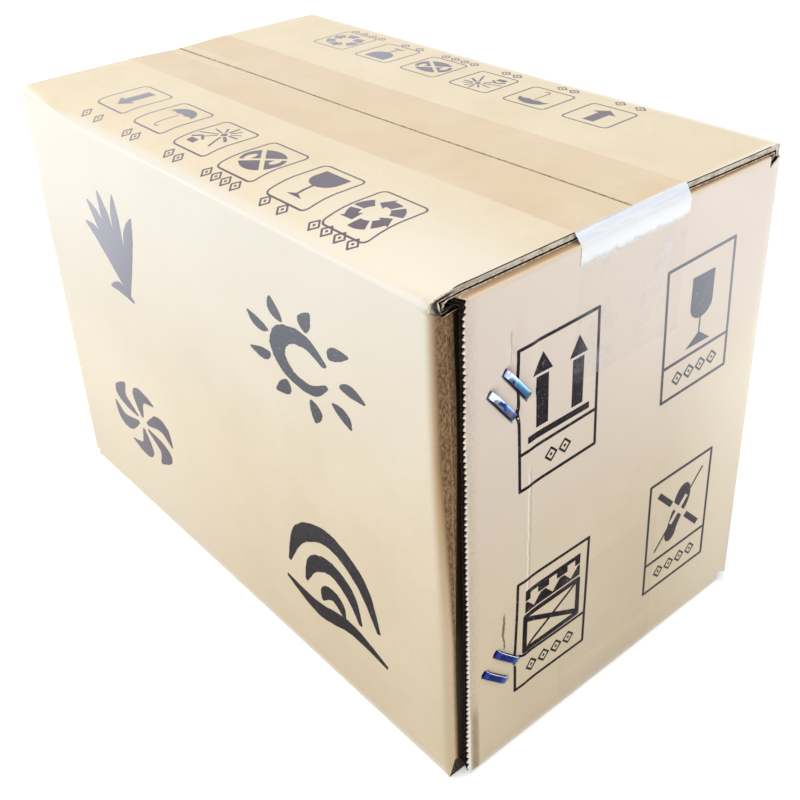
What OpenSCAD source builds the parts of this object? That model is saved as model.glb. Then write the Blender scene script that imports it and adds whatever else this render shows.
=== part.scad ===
/*
  Slotted shipping carton, folded from one corrugated sheet.
  X runs along the length, Y across the width and Z up. The origin is at the middle of the base.
  The near long side faces -Y. The stitched lap joint is at the corner of -Y and +X.
*/

/* [Carton] */
// Length over the two end panels
box_l = 260; // [200:1:400]
// Width over the two long panels
box_w = 150; // [120:1:260]
// Height over the closed outer flaps
box_h = 187; // [120:1:320]

/* [Board] */
// Thickness of the corrugated board
board_t = 3; // [2.4:0.1:3.8]
// Thickness of each flat paper liner
liner_t = 0.4; // [0.25:0.05:0.6]
// Thickness of the waved paper between the liners
medium_t = 0.35; // [0.2:0.05:0.5]
// Distance from one crest of the waved paper to the next
flute_pitch = 6.4; // [5:0.1:9]
// Width of the glued crest of each wave
glue_w = 1.2; // [0.6:0.1:2]
// Outer radius of the board where it is folded
fold_r = 4.2; // [4:0.1:6]
// Air between layers of board that lie on each other
layer_gap = 0.3; // [0.1:0.05:1]

/* [Flaps] */
// Distance from the end panel's face to the cut end of an outer flap
outer_flap_setback = 3; // [1:0.5:6]
// Distance from the long panel's face to the cut side of an inner flap
inner_flap_setback = 6; // [6:0.5:12]
// Reach of an inner flap from the end panel's face
inner_flap_reach = 75; // [40:1:90]
// Gap left between the two outer flaps
seam_gap = 1.2; // [0.4:0.1:4]

/* [Lap joint] */
// Width of the tab that is folded in behind the end panel
tab_w = 35; // [35:1:45]
// Height by which the tab's free corners are cut back
tab_taper = 5; // [1:0.5:12]
// Distance from the long panel's face to the end panel's cut edge
lap_setback = 6; // [4:0.5:6]
// Distance between the saw teeth that the knife left on that edge
tooth_pitch = 2.1; // [1.5:0.1:4]
// Depth of the saw teeth
tooth_depth = 0.5; // [0.2:0.1:1]

/* [Wire stitches] */
// Width of the flat stitching wire
wire_w = 2.3; // [1.2:0.1:3]
// Thickness of the flat stitching wire
wire_t = 0.6; // [0.4:0.05:1]
// Length of a stitch across the outside of the end panel
crown_l = 17; // [16:0.5:20]
// Length of each leg that is clinched on the inside
clinch_l = 5.5; // [3:0.5:6]
// Inner radius of the wire's bends
bend_r = 0.5; // [0.2:0.1:0.8]
// Distance between the two stitches of a pair, across them
pair_gap = 7.6; // [5:0.1:10]
// Slope of the upper pair, in degrees below level
upper_slope = 52; // [45:1:60]
// Distance from the long panel's face to the middle of the upper pair
upper_pair_y = 24; // [19:0.5:24]
// Distance from the carton's top to the middle of the upper pair
upper_pair_drop = 41; // [30:1:50]
// Slope of the lower pair, in degrees below level
lower_slope = 44; // [40:1:60]
// Distance from the long panel's face to the middle of the lower pair
lower_pair_y = 20; // [18:0.5:22]
// Height of the middle of the lower pair above the carton's base
lower_pair_rise = 41; // [30:1:50]
// Air round each leg in its hole through the board
leg_air = 0.1; // [0.05:0.05:0.3]

/* [Sealing tape] */
// Width of the clear tape
tape_w = 50; // [36:1:75]
// Thickness of the clear tape
tape_t = 0.06; // [0.05:0.01:0.2]
// Length of the top tape's tails down the end panels
top_tail = 50; // [20:1:90]
// Length of the bottom tape's tails up the end panels
bottom_tail = 60; // [20:1:90]
// Air between the tape and the fold of the end panel
tape_air = 0.1; // [0.05:0.05:0.5]

/* [Hidden] */
$fn = 64;
// Steps of the curve of each flute
flute_steps = 4;
// Waves that are drawn open behind the end panel's cut edge
lap_flutes = 2;
// Overshoot of a cutting shape past the face that it cuts
over = 1;
half_l = box_l / 2;
half_w = box_w / 2;
half_h = box_h / 2;
mid_z = tape_t + half_h;
fold_in = fold_r - board_t;
// Drop from the carton's top to an inner flap's upper face, and the same at the base
inner_drop = board_t + layer_gap;
// Half height of the straight part of the long panels and of the end panels
long_half = half_h - fold_r;
end_half = half_h - inner_drop - fold_r;
// Outer face of the tab, behind the end panel
tab_x = half_l - board_t - layer_gap;
kraft = [0.80, 0.68, 0.50];
film = [0.90, 0.80, 0.58, 0.6];
steel = [0.72, 0.75, 0.80];

// One closed cell between the waved paper and a liner, centred on x = 0 with its liner at y = 0
module flute_cell() {
  half_cell = (flute_pitch - glue_w) / 2;
  swing = (board_t - 2 * liner_t - medium_t) / 2;
  curve = [for (i = [0 : flute_steps])
    let (x = half_cell - 2 * half_cell * i / flute_steps)
    [x, -swing - swing * cos(360 * x / flute_pitch)]];
  polygon(concat([[-half_cell, 0], [half_cell, 0]], curve));
}

// Section of a length of board, seen along its flutes: liner, waved paper and liner. It starts
// with a cut through a flute, and its flutes run as far as the length that is open.
module fluted_section(run, open_run) {
  half_cell = (flute_pitch - glue_w) / 2;
  first_x = -flute_pitch / 4;
  cells = floor((open_run + half_cell - first_x) / (flute_pitch / 2));
  difference() {
    square([run, board_t]);
    for (i = [0 : cells])
      translate([first_x + i * flute_pitch / 2, i % 2 == 0 ? board_t - liner_t : liner_t])
        rotate(i % 2 == 0 ? 0 : 180)
          flute_cell();
  }
}

// Section of a fold through a quarter turn, about the origin, in the quadrant of +x and +y
module fold_section() {
  intersection() {
    difference() {
      circle(fold_r);
      circle(fold_in);
    }
    square(fold_r);
  }
}

// Upright stretch of board along the x axis. Its flutes are closed in by the folds at its ends.
module standing_board(run, half_height) {
  translate([0, 0, mid_z - half_height])
    cube([run, board_t, 2 * half_height]);
}

// The same with its flutes open at a cut upright edge, at x = 0
module standing_cut_board(run, half_height, open_run) {
  translate([0, 0, mid_z - half_height])
    linear_extrude(2 * half_height)
      fluted_section(run, open_run);
}

module standing_fold(half_height) {
  translate([0, 0, mid_z - half_height])
    linear_extrude(2 * half_height)
      fold_section();
}

// Saw teeth along the end panel's cut edge, as a comb that is cut away from it
module tooth_comb() {
  teeth = ceil(2 * end_half / tooth_pitch);
  points = [for (i = [0 : 2 * teeth]) [i % 2 == 0 ? tooth_depth : 0, i * tooth_pitch / 2]];
  translate([half_l - board_t - over, -half_w + lap_setback, mid_z - end_half])
    rotate([90, 0, 90])
      linear_extrude(board_t + 2 * over)
        polygon(concat([[-over, 0]], points, [[-over, teeth * tooth_pitch]]));
}

// Tapered ends of the tab, cut away from a tab that starts out square
module tab_trim() {
  root = fold_r - tab_w;
  for (side = [-1, 1])
    translate([tab_x - board_t - over, -half_w + tab_w, mid_z + side * end_half])
      rotate([90, 0, 90])
        linear_extrude(board_t + 2 * over)
          polygon([[root, 0], [root, side * over], [over, side * over], [over, -side * tab_taper],
                   [0, -side * tab_taper]]);
}

// Four panels and the tab, folded round the vertical creases
module walls() {
  translate([-half_l + fold_r, -half_w, 0])
    standing_board(tab_x + half_l - 2 * fold_r, long_half);
  translate([-half_l + fold_r, half_w - board_t, 0])
    standing_board(box_l - 2 * fold_r, long_half);
  translate([-half_l + board_t, -half_w + fold_r, 0])
    rotate(90)
      standing_board(box_w - 2 * fold_r, end_half);
  difference() {
    translate([half_l, -half_w + lap_setback, 0])
      rotate(90)
        standing_cut_board(box_w - lap_setback - fold_r, end_half, lap_flutes * flute_pitch);
    tooth_comb();
  }
  difference() {
    translate([tab_x - board_t, -half_w + tab_w, 0])
      rotate(-90)
        standing_cut_board(tab_w - fold_r, end_half, tab_w - fold_r - flute_pitch);
    tab_trim();
  }
  translate([half_l - fold_r, half_w - fold_r, 0])
    standing_fold(end_half);
  translate([-half_l + fold_r, half_w - fold_r, 0])
    rotate(90)
      standing_fold(end_half);
  translate([-half_l + fold_r, -half_w + fold_r, 0])
    rotate(180)
      standing_fold(end_half);
  translate([tab_x - fold_r, -half_w + fold_r, 0])
    rotate(270)
      standing_fold(end_half);
}

// Outer flap of the long panel at +Y, with its fold, for the top of the carton
module outer_flap() {
  flap_l = box_l - 2 * outer_flap_setback;
  reach = half_w - fold_r - seam_gap / 2;
  translate([-flap_l / 2, half_w - fold_r, mid_z + half_h - board_t])
    rotate([90, 0, 0])
      linear_extrude(reach)
        fluted_section(flap_l, flap_l);
  translate([-flap_l / 2, half_w - fold_r, mid_z + long_half])
    rotate([90, 0, 90])
      linear_extrude(flap_l)
        fold_section();
}

// Inner flap of the end panel at +X, with its fold, for the top of the carton
module inner_flap() {
  flap_w = box_w - 2 * inner_flap_setback;
  reach = inner_flap_reach - fold_r;
  translate([half_l - fold_r - reach, -flap_w / 2, mid_z + half_h - inner_drop - board_t])
    cube([reach, flap_w, board_t]);
  translate([half_l - fold_r, flap_w / 2, mid_z + end_half])
    rotate([90, 0, 0])
      linear_extrude(flap_w)
        fold_section();
}

// Copies of a top flap at both sides and at the base, by reflection through the middle
module at_both_sides(axis) {
  for (turn = [[0, 0, 0], axis])
    for (base = [[0, 0, 0], [0, 0, 1]])
      translate([0, 0, mid_z])
        mirror(base)
          mirror(turn)
            translate([0, 0, -mid_z])
              children();
}

// Puts a stitch of the upper or lower pair on the end panel: side is 1 for the one nearer the
// panel's middle and -1 for the other. A stitch's own frame has its crown along x and its legs
// along -y.
module at_upper(side) {
  at_pair(upper_pair_y, half_h - upper_pair_drop, upper_slope, side)
    children();
}

module at_lower(side) {
  at_pair(lower_pair_y, lower_pair_rise - half_h, lower_slope, side)
    children();
}

module at_pair(pair_y, pair_z, slope, side) {
  translate([half_l, -half_w + pair_y, mid_z + pair_z])
    rotate([-slope, 0, 0])
      translate([0, 0, side * pair_gap / 2])
        rotate(-90)
          children();
}

// Holes that the legs of one stitch press through both layers
module leg_holes() {
  hole_w = wire_w + 2 * leg_air;
  hole_t = bend_r + wire_t + 2 * leg_air;
  depth = 2 * board_t + layer_gap + 2 * over;
  for (side = [-1, 1])
    translate([side * (crown_l / 2 + leg_air - hole_t / 2), over - depth / 2, 0])
      cube([hole_t, depth, hole_w], center = true);
}

// Bent flat wire: crown outside, two legs, and their ends clinched towards each other inside
module stitch() {
  out_r = bend_r + wire_t;
  leg_top = wire_t - out_r;
  leg_foot = -2 * board_t - layer_gap + bend_r;
  inside_y = -2 * board_t - layer_gap - wire_t;
  linear_extrude(wire_w, center = true) {
    translate([-crown_l / 2 + out_r, 0])
      square([crown_l - 2 * out_r, wire_t]);
    for (flip = [0, 1])
      mirror([flip, 0]) {
        translate([crown_l / 2 - out_r, leg_top])
          wire_bend(out_r);
        translate([crown_l / 2 - wire_t, leg_foot])
          square([wire_t, leg_top - leg_foot]);
        translate([crown_l / 2 - out_r, leg_foot])
          mirror([0, 1])
            wire_bend(out_r);
        translate([crown_l / 2 - out_r - clinch_l, inside_y])
          square([clinch_l, wire_t]);
      }
  }
}

module wire_bend(out_r) {
  intersection() {
    difference() {
      circle(out_r);
      circle(bend_r);
    }
    square(out_r);
  }
}

// The whole folded sheet
module carton() {
  color(kraft)
    difference() {
      union() {
        walls();
        at_both_sides([0, 1, 0])
          outer_flap();
        at_both_sides([1, 0, 0])
          inner_flap();
      }
      for (side = [-1, 1]) {
        at_upper(side)
          leg_holes();
        at_lower(side)
          leg_holes();
      }
    }
}

// Mitred offset of a corner between two edges with these outward normals
function mitre(n1, n2) = (n1 + n2) * tape_t / (1 + n1 * n2);

// Film over one pair of outer flaps, bridging from their cut ends to the end panels
module tape_strip(tail) {
  edge = [outer_flap_setback - fold_r, -inner_drop - fold_r];
  keep_off = fold_r + tape_air;
  lean = atan2(-edge[1], -edge[0]) - acos(keep_off / norm(edge));
  land_z = half_h + edge[1] + (keep_off - fold_r * cos(lean)) / sin(lean);
  up = [0, 1];
  slant = [cos(lean), sin(lean)];
  out = [1, 0];
  corners = [[half_l - outer_flap_setback, half_h], [half_l, land_z], [half_l, half_h - tail]];
  skins = [corners[0] + mitre(up, slant), corners[1] + mitre(slant, out), corners[2] + out * tape_t];
  right = concat(skins, [corners[2], corners[1], corners[0]]);
  left = [for (i = [5 : -1 : 0]) [-right[i][0], right[i][1]]];
  rotate([90, 0, 0])
    linear_extrude(tape_w, center = true)
      polygon(concat(right, left));
}

module top_tape() {
  color(film)
    translate([0, 0, mid_z])
      tape_strip(top_tail);
}

module bottom_tape() {
  color(film)
    translate([0, 0, mid_z])
      mirror([0, 0, 1])
        tape_strip(bottom_tail);
}

module upper_stitch_outer() {
  color(steel)
    at_upper(-1)
      stitch();
}

module upper_stitch_inner() {
  color(steel)
    at_upper(1)
      stitch();
}

module lower_stitch_outer() {
  color(steel)
    at_lower(-1)
      stitch();
}

module lower_stitch_inner() {
  color(steel)
    at_lower(1)
      stitch();
}

carton();
top_tape();
bottom_tape();
upper_stitch_outer();
upper_stitch_inner();
lower_stitch_outer();
lower_stitch_inner();
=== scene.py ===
import math
import random

import bmesh
import bpy
from mathutils import Matrix, Vector, geometry, noise
from mathutils.bvhtree import BVHTree


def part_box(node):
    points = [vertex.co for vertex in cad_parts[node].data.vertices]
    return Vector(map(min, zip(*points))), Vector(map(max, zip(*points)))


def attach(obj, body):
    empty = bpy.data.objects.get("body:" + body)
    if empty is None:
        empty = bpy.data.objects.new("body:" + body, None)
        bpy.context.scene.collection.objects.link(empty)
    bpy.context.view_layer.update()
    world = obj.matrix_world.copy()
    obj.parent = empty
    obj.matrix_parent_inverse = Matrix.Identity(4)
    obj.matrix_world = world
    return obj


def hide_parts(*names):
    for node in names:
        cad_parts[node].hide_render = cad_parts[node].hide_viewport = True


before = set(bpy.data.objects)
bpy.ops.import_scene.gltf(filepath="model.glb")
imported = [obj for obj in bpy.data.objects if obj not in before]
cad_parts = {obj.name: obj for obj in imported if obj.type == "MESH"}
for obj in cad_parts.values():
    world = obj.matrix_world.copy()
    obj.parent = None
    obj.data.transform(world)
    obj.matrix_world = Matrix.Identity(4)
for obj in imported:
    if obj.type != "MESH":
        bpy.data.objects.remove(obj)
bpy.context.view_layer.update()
MM = 0.001


# The carton is one sheet of single-wall corrugated kraft board: an end panel, a long panel, the other end, the near
# long panel and a stitching tab, with a flap above and below each panel. It is folded round at its upright creases,
# and the flaps are folded in over each other, the end panels' first.
carton_low, carton_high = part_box("carton")
half_l, half_w = carton_high.x, carton_high.y
top_z = carton_high.z
mid_z = (carton_low.z + top_z) / 2
half_h = top_z - mid_z

board_t = 3.0 * MM
liner_t = 0.4 * MM
medium_t = 0.35 * MM
flute_pitch = 6.4 * MM
flute_depth = 2.4 * MM      # how far a cut flute is drawn into the board
fold_r = 4.2 * MM
layer_drop = 3.3 * MM       # from the face of the outer flaps to the face of the inner flaps
outer_flap_end = half_l - 3.0 * MM
inner_flap_side = half_w - 6.0 * MM
inner_flap_reach = 75.0 * MM
seam_gap = 0.8 * MM
lap_edge = -half_w + 6.0 * MM
tab_w = 35.0 * MM
tab_end = tab_w - half_w    # where the tab's free edge is, behind the end panel
tab_taper = 5.0 * MM
tab_x = half_l - layer_drop
long_top = half_h - fold_r
end_top = long_top - layer_drop

row_step = 4.2 * MM
flap_rows = 17
flap_row_ease = 1.4         # above 1, a flap's rows lie closer together towards its fold
corner_steps = 4
fold_steps = 7
squareness = 0.1            # below 1, a crease is crushed tighter than a round one
near_squareness = 0.16      # of the near long crease of the top
tab_squareness = 0.9        # of the upright crease that turns the tab in
flap_end_wave = 0.66        # how high the waved paper stands at a flap's end, as a share of the board's inside
web_depth = 0.25 * MM
notch_fill = 2.9 * MM       # how far the end panels' corners stand up into the slots between the flaps
hang_step = 1.5 * MM
nearly = 1e-6               # two points closer than this are one


class Line:
    """One upright line of the folded sheet: where it stands seen from above, and where its flaps start."""

    def __init__(self, foot, out, panel, wave=0.5):
        self.foot, self.out, self.panel, self.wave = foot, out, panel, wave
        self.flap = None
        self.trim = 1.0


def spread(marks, step):
    """Evenly spaced values that also hit every mark."""
    values = [marks[0]]
    for start, stop in zip(marks, marks[1:]):
        count = max(1, round((stop - start) / step))
        values += [start + (stop - start) * i / count for i in range(1, count + 1)]
    return values


def smooth(low, high, value):
    """0 at low and 1 at high, whichever is the larger."""
    t = min(1.0, max(0.0, (value - low) / (high - low)))
    return t * t * (3 - 2 * t)


def tight_arc(angle, power=squareness):
    """Point at this angle on the quarter round of a crushed crease."""
    return max(0.0, math.cos(angle)) ** power, math.sin(angle) ** power


def hang_over(point, toward, out, length, step):
    """Start of an outer flap where it reaches past its panel, over the rounded corner."""
    cells = max(1, round(length / hang_step))
    return (point + toward * length * step / cells, out, "long") if step <= cells else None


def lay_out():
    """The upright lines, from the stitched end panel's cut edge round the box to the tab's free edge."""
    long_run = 2 * (half_l - fold_r)
    end_run = 2 * (half_w - fold_r)
    lap_run = half_w - fold_r - lap_edge
    near_run = half_l + tab_x - 2 * fold_r
    hang = outer_flap_end - (half_l - fold_r)
    short = half_w - fold_r - inner_flap_side
    runs = [("end", lap_run, 0.0, lap_run - short),
            ("long", long_run, -hang, long_run + hang),
            ("end", end_run, short, end_run - short),
            ("long", near_run, -hang, half_l - fold_r + outer_flap_end),
            ("tab", tab_w - fold_r, None, None)]
    found = []
    foot, heading = Vector((half_l, lap_edge)), Vector((0, 1))
    for number, (panel, length, start, stop) in enumerate(runs):
        out = Vector((heading.y, -heading.x))
        inside = [m for m in (start, stop) if m is not None and nearly < m < length - nearly]
        marks = sorted([0.0, length, *inside])
        for index, along in enumerate(spread(marks, flute_pitch / 2)):
            at_mark = any(abs(along - m) < nearly for m in marks)
            line = Line(foot + heading * along, out, panel, 0.5 if at_mark else float(index % 2))
            if panel == "tab":
                line.trim = 1 - tab_taper / end_top * along / length
            elif start - nearly <= along <= stop + nearly:
                line.flap = (line.foot, out, panel)
            found.append(line)
        if number + 1 == len(runs):
            break
        end = foot + heading * length
        centre = end - out * fold_r
        foot = centre + heading * fold_r
        turned = Vector((-heading.y, heading.x))
        for step in range(1, corner_steps):
            power = tab_squareness if runs[number + 1][0] == "tab" else squareness
            cos, sin = tight_arc(math.pi / 2 * step / corner_steps, power)
            around = out * cos + heading * sin
            line = Line(centre + around * fold_r, around, "corner")
            if panel == "long":
                line.flap = hang_over(end, heading, out, stop - length, step)
            elif runs[number + 1][0] == "long":
                line.flap = hang_over(foot, -turned, heading, -runs[number + 1][2], corner_steps - step)
            found.append(line)
        heading = turned
    return found


lines = lay_out()
upper_rows = [("reach", 1, 0.0)]
upper_rows += [("fold", 1, math.pi / 2 * step / fold_steps) for step in range(1, fold_steps + 1)]
upper_rows += [("flap", 1, (step / flap_rows) ** flap_row_ease) for step in range(1, flap_rows + 1)]
rows = [(kind, -1, amount) for kind, side, amount in reversed(upper_rows)]
rows += [("wall", 0, z) for z in spread([-end_top, end_top], row_step)]
rows += upper_rows


def sheet_point(line, row, depth):
    """Point of the folded sheet at this depth below its outer face."""
    kind, side, amount = row
    if kind == "wall":
        spot = line.foot - line.out * depth
        at_flap = line.panel in ("end", "corner") and abs(amount) > end_top - nearly
        if at_flap and spot.x * spot.y > -spot.x * half_w / 2:
            amount += math.copysign(notch_fill * smooth(half_w - 5.5 * MM, half_w - 2.5 * MM, abs(spot.y)), amount)
        return Vector((spot.x, spot.y, mid_z + amount * line.trim))
    foot, out, panel = line.flap
    limit, reach = end_top, inner_flap_reach - fold_r
    if panel == "long":
        limit, reach = long_top, half_w - fold_r - seam_gap / 2
    power = near_squareness if panel == "long" and side > 0 and out.y < -0.5 else squareness
    cos, sin = tight_arc({"reach": 0.0, "fold": amount, "flap": math.pi / 2}[kind], power)
    r = fold_r - depth
    spot = foot - out * (fold_r - r * cos + (amount * reach if kind == "flap" else 0.0))
    return Vector((spot.x, spot.y, mid_z + side * (limit + r * sin)))


def layers(line):
    """Depths of the faces of liner, waved paper and liner at a cut edge."""
    crest_wear_and_highlight = liner_t + line.wave * (board_t - 2 * liner_t - medium_t)
    return (0.0, liner_t, crest_wear_and_highlight, crest_wear_and_highlight + medium_t, board_t - liner_t, board_t)


def same_spot(i, j):
    """An end panel's flap folds right above its wall, so those two rows are one."""
    kind, side, amount = rows[j]
    return (i, j - side) if kind == "reach" and lines[i].flap[2] == "end" else (i, j)


def joined(i, j):
    """Whether the sheet has board between lines i and i + 1 and rows j and j + 1."""
    if not (0 <= i < len(lines) - 1 and 0 <= j < len(rows) - 1):
        return False
    if {rows[j][0], rows[j + 1][0]} == {"wall"}:
        return True
    return bool(lines[i].flap and lines[i + 1].flap)


for before, here, after in zip(lines, lines[1:], lines[2:]):
    if here.flap and not (before.flap and after.flap):
        here.wave = flap_end_wave

LINER, CUT, FLUTE, WEB = range(4)
sheet = bmesh.new()
placed = {}


def vertex(spot, layer, inward=None):
    """The sheet's vertex at a line and row, on one layer, or set back from its cut edge into the flutes."""
    name = (spot, layer, inward)
    if name not in placed:
        i, j = spot
        depth = layers(lines[i])[layer]
        point = sheet_point(lines[i], rows[j], depth)
        if inward:
            beyond = sheet_point(lines[i + inward[0]], rows[j + inward[1]], depth)
            along_web = inward[0] and spot[0] and layer < 3
            point += (beyond - point).normalized() * (web_depth if along_web else flute_depth)
        placed[name] = sheet.verts.new(point)
    return placed[name]


def face(ring, finish):
    """One face of the sheet, left out where its corners fall together."""
    corners = [v for k, v in enumerate(ring) if v is not ring[k - 1]]
    if len(corners) > 2 and len(set(corners)) == len(corners):
        sheet.faces.new(corners).material_index = finish


cells = [(i, j) for i in range(len(lines) - 1) for j in range(len(rows) - 1) if joined(i, j)]
edges = []
turns = {}
for i, j in cells:
    ring = [same_spot(*spot) for spot in ((i, j), (i + 1, j), (i + 1, j + 1), (i, j + 1))]
    for layer in (0, 5):
        face([vertex(spot, layer) for spot in ring], LINER)
    for step, (a, b) in (((-1, 0), (0, 3)), ((1, 0), (1, 2)), ((0, -1), (0, 1)), ((0, 1), (3, 2))):
        if not joined(i + step[0], j + step[1]) and ring[a] != ring[b]:
            edges.append((ring[a], ring[b], (-step[0], -step[1])))
            for spot in (ring[a], ring[b]):
                turns.setdefault(spot, set()).add(step[0] == 0)

for a, b, inward in edges:
    front = [[vertex(spot, layer) for layer in range(6)] for spot in (a, b)]
    back = []
    for spot, faces in zip((a, b), front):
        at_corner = len(turns[spot]) > 1
        back.append(faces if at_corner else [vertex(spot, layer, inward) for layer in range(6)])
    at_lap = a[0] == 0 and b[0] == 0
    for layer in (0, 2, 4):
        # Cut faces in shade take the fluting, painted nearly black as shade.
        shaded = (at_lap and layer) or (inward[0] and layer == 0 and rows[a[1]][0] == rows[b[1]][0] == "flap")
        face([front[0][layer], front[1][layer], front[1][layer + 1], front[0][layer + 1]], FLUTE if shaded else CUT)
    for layer in (1, 3):
        near, far = layer, layer + 1
        finish = WEB if inward[0] and not at_lap and layer == 1 else FLUTE
        face([front[0][near], front[1][near], back[1][near], back[0][near]], finish)
        face([back[0][near], back[1][near], back[1][far], back[0][far]], finish)
        face([back[0][far], back[1][far], front[1][far], front[0][far]], finish)
loose = [v for v in sheet.verts if not v.link_faces]
bmesh.ops.delete(sheet, geom=loose, context="VERTS")
bmesh.ops.remove_doubles(sheet, verts=sheet.verts, dist=nearly)
bmesh.ops.recalc_face_normals(sheet, faces=sheet.faces)

# The board gives round the wire stitches and at the near top corner, so it is divided finer there. The knife left saw
# teeth on the outer liner of the lapped edge.
tooth_depth = 1.1 * MM
undercut = 0.9 * MM         # how far the knife crushed back the layers under the outer liner
tooth_cuts = 3
wall_rows = [amount for kind, side, amount in rows if kind == "wall"]
tooth_pitch = (wall_rows[1] - wall_rows[0]) / (tooth_cuts + 1) * 2
stitch_slopes = {"upper_stitch_outer": 52, "upper_stitch_inner": 52,
                 "lower_stitch_outer": 44, "lower_stitch_inner": 44}
stitch_spots = {name: (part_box(name)[0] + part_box(name)[1]) / 2 for name in stitch_slopes}
# The half length of each crown that shows, and how far it sits aside and down from the middle of its solid.
stitch_crowns = {name: (7.8 * MM, 0.3 * MM) if name.startswith("upper") else (6.7 * MM, 1.5 * MM)
                 for name in stitch_slopes}
near_corner = Vector((half_l - 3 * MM, -half_w + 2.5 * MM, top_z - 4 * MM))


def divide(chosen, cuts):
    """Cuts these edges of the sheet into equal lengths, with the faces between them."""
    bmesh.ops.subdivide_edges(sheet, edges=chosen, cuts=cuts, use_grid_fill=True)


def on_lap_edge(point):
    return point.x > tab_x + nearly and abs(point.y - lap_edge) < nearly


divide([e for e in sheet.edges
        if all(on_lap_edge(v.co) for v in e.verts) and abs(e.verts[0].co.z - e.verts[1].co.z) > MM], tooth_cuts)
stitched = list(stitch_spots.values())
for radius, centres in ((17 * MM, stitched), (12 * MM, stitched), (9 * MM, [near_corner])):
    close = {e for f in sheet.faces if f.material_index == LINER
             and any((f.calc_center_median() - c).length < radius for c in centres) for e in f.edges}
    divide(list(close), 1)

far_sag = 0.7 * MM          # how far the top sinks away from the stitched end
near_roll = 6.0 * MM        # how much lower the near long crease lies than the flap behind it
roll_width = 22 * MM        # how far in from the near side that roll starts
roll_width_at_end = 9 * MM
end_pull = 4.4 * MM         # how far the near flap's end is drawn back at its crease
seam_skew = 2.2 * MM        # the seam runs a little askew towards the stitched end
foot_lip = 2.7 * MM         # how far the end panels stand down in front of the bottom flaps' ends
foot_flare = 1.2 * MM       # how far the stitched panel's edge stands out over the tab at the foot
foot_pull = 1.0 * MM        # how far the bottom's outer flaps end short of their cut
seam_dip = 0.7 * MM
top_ripple = 0.15 * MM
wall_hollow = 0.32 * MM
corner_tuck = 1.4 * MM      # how far the tab is drawn in behind the near top corner
far_stretch = 2.1 * MM      # the far flap's end stands nearly flush with the end panel at its corner
skin_room = 0.08 * MM       # kept free under the faces of the box for ink and tape
fold_crush = 0.2 * MM
tab_step = 0.4 * MM         # how far the end panel drops beyond the tab's free edge behind it
lap_wander = 0.4 * MM
tab_ridge = 0.35 * MM       # how far the end panel stands out along the tab's free edge behind it
lap_curl = 0.35 * MM        # how far its lapped edge curls in, here more and there less
lap_furrow = 0.3 * MM       # depth of the dull furrow beside that edge
crown_press = 0.3           # how deep a stitch's crown presses the liner, in mm
leg_pull = 1.3              # how deep each of its legs draws the liner in
broad_pull = 0.45           # how deep the board round it is drawn in
corner_crumple = 1.5        # how far the near top corner is crumpled, in mm
corner_push = Vector((-0.2, 0.4, -0.2))     # which way and how far it is knocked in, in mm
crack_depth = 0.8 * MM
crack_width = 0.9 * MM
liner_cracks = ((-50.5 * MM, 159 * MM, 170 * MM), (-53.5 * MM, 54 * MM, 68 * MM))   # y, and from which z to which


def cloud(x, y, z, size, seed=0.0):
    """Smooth wandering value from 0 to 1."""
    return 0.5 + 0.5 * noise.noise(Vector((x, y, z)) / size + Vector((seed, 7.3 * seed, -seed)))


def stitch_dent(point):
    """How far the stitches pull the end panel in: under each crown, most where its legs go through."""
    deepest, broad = 0.0, 0.0
    for name, centre in stitch_spots.items():
        crown_half, aside = stitch_crowns[name]
        dy, dz = point.y - centre.y - aside, point.z - centre.z + aside
        slope = math.radians(stitch_slopes[name])
        along = dy * math.cos(slope) - dz * math.sin(slope)
        across = dy * math.sin(slope) + dz * math.cos(slope)
        beside = math.exp(-(across / (2.0 * MM)) ** 2)
        under = crown_press * beside * (1 - smooth(crown_half, crown_half + 2.5 * MM, abs(along)))
        leg = leg_pull * math.exp(-((abs(along) - crown_half + 0.2 * MM) ** 2 + across ** 2) / (1.6 * MM) ** 2)
        deepest = max(deepest, under + leg)
        broad = max(broad, broad_pull * math.exp(-(dy ** 2 + dz ** 2) / (12 * MM) ** 2))
    return (deepest + broad) * MM


def crease_mark(point, y, low, high):
    """How deep a fine upright crack in the end panel's liner is here, as a share of its depth."""
    wander = (cloud(0, 0, point.z, 6 * MM, y * 100) - 0.5) * 1.6 * MM
    ends = smooth(low - 3 * MM, low, point.z) * (1 - smooth(high, high + 3 * MM, point.z))
    return math.exp(-((point.y - y - wander) / crack_width) ** 2) * ends


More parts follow.
